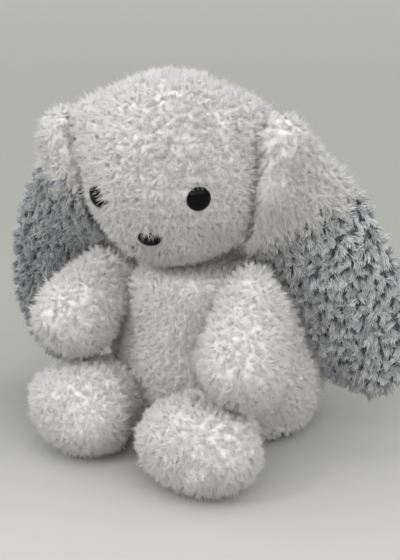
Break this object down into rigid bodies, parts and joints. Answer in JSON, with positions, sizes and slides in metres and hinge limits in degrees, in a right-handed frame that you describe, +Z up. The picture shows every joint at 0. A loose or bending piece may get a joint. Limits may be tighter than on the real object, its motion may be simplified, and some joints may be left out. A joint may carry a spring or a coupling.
{
  "type": "stuffed bunny rabbit",
  "caption": "Sitting lop-eared bunny crocheted in plush yarn, white with grey ears, fibre-filled, with domed black eyes and nose; head, ears, arms and legs move a little at their sewn joints.",
  "frame": {"origin": "middle of the flat seat under the torso, on the surface that the toy sits on", "axes": "+Z up, the torso faces -Y, the toy's left arm and ear are on +X"},
  "size_m": [0.2387, 0.1935, 0.2075],
  "materials": {
    "white_yarn": "white plush chenille yarn, crocheted, with a pile of short soft tufts",
    "grey_yarn": "blue-grey plush chenille yarn with pale tuft ends",
    "fibre_filling": "loose white polyester fibre",
    "sewing_yarn": "white yarn, twisted",
    "black_plastic": "polished black dome",
    "washer_plastic": "moulded, plain"
  },
  "bodies": {
    "torso": {"torso_cover": "white_yarn", "torso_filling": "fibre_filling", "arm_left_seam": "sewing_yarn", "arm_right_seam": "sewing_yarn", "leg_left_seam": "sewing_yarn", "leg_right_seam": "sewing_yarn", "tail_cover": "white_yarn", "tail_filling": "fibre_filling", "tail_seam": "sewing_yarn"},
    "neck": {"neck_seam": "sewing_yarn"},
    "head": {"head_cover": "white_yarn", "head_filling": "fibre_filling", "eye_left": "black_plastic", "eye_left_washer": "washer_plastic", "eye_right": "black_plastic", "eye_right_washer": "washer_plastic", "nose": "black_plastic", "nose_washer": "washer_plastic", "ear_left_seam": "sewing_yarn", "ear_right_seam": "sewing_yarn"},
    "ear_left": {"ear_left_white": "white_yarn", "ear_left_grey": "grey_yarn"},
    "ear_right": {"ear_right_white": "white_yarn", "ear_right_grey": "grey_yarn"},
    "arm_left": {"arm_left_cover": "white_yarn", "arm_left_filling": "fibre_filling"},
    "arm_right": {"arm_right_cover": "white_yarn", "arm_right_filling": "fibre_filling"},
    "leg_left": {"leg_left_cover": "white_yarn", "leg_left_filling": "fibre_filling"},
    "leg_right": {"leg_right_cover": "white_yarn", "leg_right_filling": "fibre_filling"}
  },
  "joints": [
    {"name": "head_turn", "type": "hinge", "parent": "torso", "child": "neck", "pos_m": [0, -0.024, 0.099], "axis": [0, -0.4411, 0.8974], "range_deg": [-7, 5]},
    {"name": "head_nod", "type": "hinge", "parent": "neck", "child": "head", "pos_m": [0, -0.024, 0.099], "axis": [0.9537, 0.3007, 0], "range_deg": [-8, 8]},
    {"name": "ear_left_lift", "type": "hinge", "parent": "head", "child": "ear_left", "pos_m": [0.05378, -0.03811, 0.17714], "axis": [0.3007, -0.9537, 0], "range_deg": [0, 80]},
    {"name": "ear_right_lift", "type": "hinge", "parent": "head", "child": "ear_right", "pos_m": [-0.0545, -0.07228, 0.16927], "axis": [-0.3007, 0.9537, 0], "range_deg": [0, 80]},
    {"name": "arm_left_swing", "type": "hinge", "parent": "torso", "child": "arm_left", "pos_m": [0.0426, -0.04242, 0.09926], "axis": [-0.7825, 0.3817, -0.4919], "range_deg": [0, 45]},
    {"name": "arm_right_swing", "type": "hinge", "parent": "torso", "child": "arm_right", "pos_m": [-0.0426, -0.04242, 0.09926], "axis": [-0.7825, -0.3817, 0.4919], "range_deg": [-8, 25]},
    {"name": "leg_left_splay", "type": "hinge", "parent": "torso", "child": "leg_left", "pos_m": [0.03823, -0.06296, 0.02629], "axis": [0, 0, 1], "range_deg": [-3, 15]},
    {"name": "leg_right_splay", "type": "hinge", "parent": "torso", "child": "leg_right", "pos_m": [-0.03823, -0.06296, 0.02629], "axis": [0, 0, -1], "range_deg": [-3, 15]}
  ]
}
